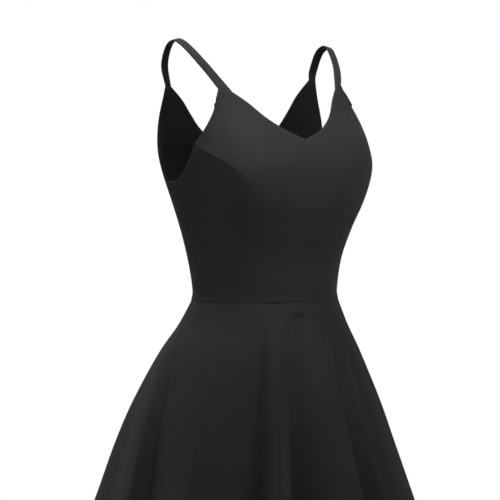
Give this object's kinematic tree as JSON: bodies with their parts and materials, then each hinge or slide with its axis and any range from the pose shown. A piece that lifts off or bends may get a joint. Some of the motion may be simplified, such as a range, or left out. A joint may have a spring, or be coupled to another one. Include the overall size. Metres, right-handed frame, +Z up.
{
  "type": "cocktail dress",
  "caption": "Sleeveless black cocktail dress with a V neck, shoulder straps, bust darts, a waist seam, a flared skirt and a zip down the back, filled out as worn.",
  "frame": {"origin": "midway between the tops of the two straps, where the wearer's shoulders hold the dress up", "axes": "+Z up, -Y towards the front of the dress, +X towards the wearer's left"},
  "size_m": [0.6607, 0.6289, 0.9508],
  "materials": {
    "crepe": "matt",
    "zip_metal": "satin"
  },
  "bodies": {
    "dress": {"bodice_front": "crepe", "bodice_back_left": "crepe", "bodice_back_right": "crepe", "strap_left": "crepe", "strap_right": "crepe", "skirt_front": "crepe", "skirt_back_left": "crepe", "skirt_back_right": "crepe", "zip_slider": "zip_metal"},
    "pull": {"zip_pull": "zip_metal"}
  },
  "joints": [
    {"name": "pull_swing", "type": "hinge", "parent": "dress", "child": "pull", "pos_m": [0, 0.05588, -0.19895], "axis": [1, 0, 0], "range_deg": [0, 165]}
  ]
}
